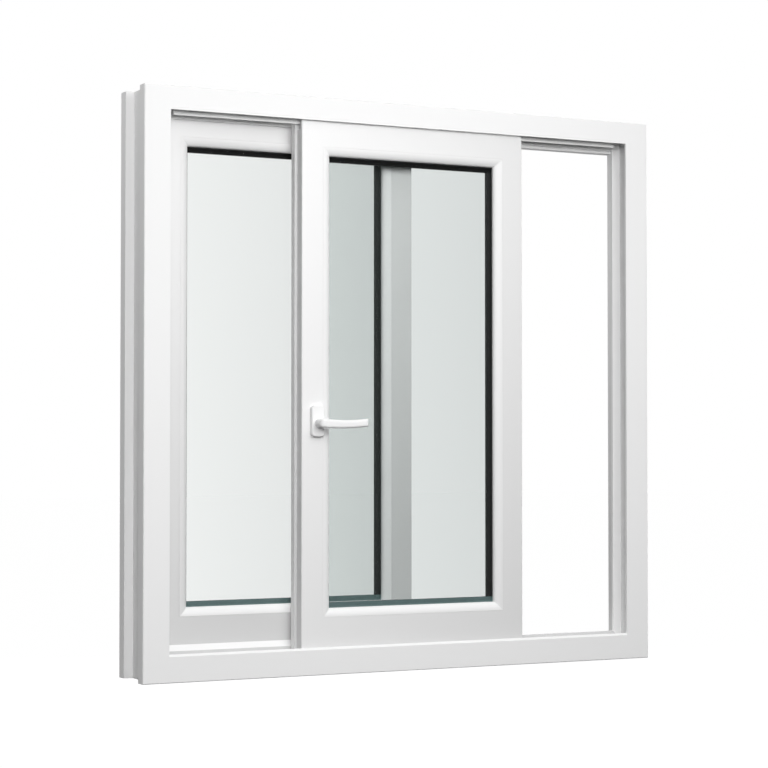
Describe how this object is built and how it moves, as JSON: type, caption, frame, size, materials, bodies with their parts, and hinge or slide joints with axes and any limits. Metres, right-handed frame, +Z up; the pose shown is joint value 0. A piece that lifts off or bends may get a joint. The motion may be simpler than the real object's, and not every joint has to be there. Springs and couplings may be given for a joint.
{
  "type": "sliding window",
  "caption": "White sliding window: square frame, fixed glazed panel behind, glazed panel that slides in front, lever handle on its stile.",
  "frame": {"origin": "middle of the seat under the sill, half way through the frame's depth", "axes": "+X to the right seen from the room, +Y out of the room, +Z up"},
  "size_m": [1.22, 0.1423, 1.2],
  "materials": {
    "white_plastic": "satin white window plastic",
    "handle_plastic": "smooth white handle",
    "clear_glass": "clear float glass with a slight green tint",
    "black_rubber": "black glazing gasket",
    "black_spacer": "black spacer bar between the panes",
    "track_aluminium": "plain aluminium track",
    "roller_plastic": "grey nylon"
  },
  "bodies": {
    "frame": {"frame_head": "white_plastic", "frame_sill": "white_plastic", "frame_left_jamb": "white_plastic", "frame_right_jamb": "white_plastic", "sill_track": "track_aluminium", "head_guide": "white_plastic", "rear_rib_left": "white_plastic", "rear_rib_right": "white_plastic", "fixed_sill_bead": "white_plastic", "rear_cover_head": "white_plastic", "rear_cover_jamb": "white_plastic", "fixed_top_rail": "white_plastic", "fixed_bottom_rail": "white_plastic", "fixed_left_stile": "white_plastic", "fixed_right_stile": "white_plastic", "fixed_bead_top": "white_plastic", "fixed_bead_bottom": "white_plastic", "fixed_bead_left": "white_plastic", "fixed_bead_right": "white_plastic", "fixed_gasket": "black_rubber", "fixed_spacer": "black_spacer", "fixed_inner_pane": "clear_glass", "fixed_outer_pane": "clear_glass", "fixed_strip_left": "white_plastic", "fixed_strip_top": "white_plastic", "fixed_strip_bottom": "white_plastic"},
    "sliding": {"sliding_top_rail": "white_plastic", "sliding_bottom_rail": "white_plastic", "sliding_left_stile": "white_plastic", "sliding_right_stile": "white_plastic", "sliding_bead_top": "white_plastic", "sliding_bead_bottom": "white_plastic", "sliding_bead_left": "white_plastic", "sliding_bead_right": "white_plastic", "sliding_gasket": "black_rubber", "sliding_spacer": "black_spacer", "sliding_inner_pane": "clear_glass", "sliding_outer_pane": "clear_glass", "roller_carriage_left": "roller_plastic", "roller_wheel_left": "roller_plastic", "roller_carriage_right": "roller_plastic", "roller_wheel_right": "roller_plastic", "handle_rosette": "handle_plastic"},
    "handle": {"handle_lever": "handle_plastic"}
  },
  "joints": [
    {"name": "panel_slide", "type": "slide", "parent": "frame", "child": "sliding", "axis": [1, 0, 0], "range_m": [-0.304, 0.273]},
    {"name": "handle_turn", "type": "hinge", "parent": "sliding", "child": "handle", "pos_m": [-0.2155, -0.055, 0.5165], "axis": [0, 1, 0], "range_deg": [0, 90]}
  ]
}
